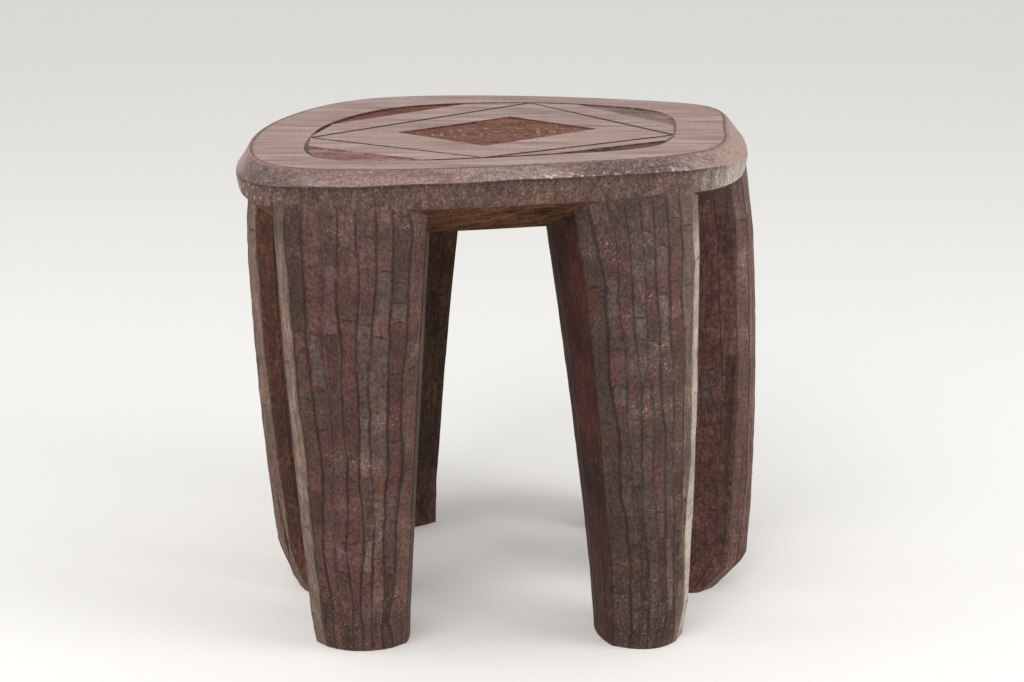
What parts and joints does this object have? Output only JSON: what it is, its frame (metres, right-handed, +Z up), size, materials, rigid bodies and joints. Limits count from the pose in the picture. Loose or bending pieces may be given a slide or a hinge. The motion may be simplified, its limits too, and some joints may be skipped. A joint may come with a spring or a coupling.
{
  "type": "carved wooden stool",
  "caption": "Low carved wooden stool: rounded-square seat with bevelled rim and shallow ring and diamond carving, on stout tapering legs dressed with an adze.",
  "frame": {"origin": "on the floor, under the middle of the stool's bounding box", "axes": "+Z up through the seat, -Y the front that the picture shows, +X to its right"},
  "size_m": [0.328, 0.3218, 0.305],
  "materials": {
    "seat_wood": "weathered hardwood, rubbed, dark in the cuts",
    "leg_wood": "dark stained hardwood with adze facets"
  },
  "bodies": {
    "root": {"seat": "seat_wood", "leg_front_left": "leg_wood", "leg_front_right": "leg_wood", "leg_right": "leg_wood", "leg_back_right": "leg_wood", "leg_back_left": "leg_wood", "leg_left": "leg_wood"}
  },
  "joints": []
}
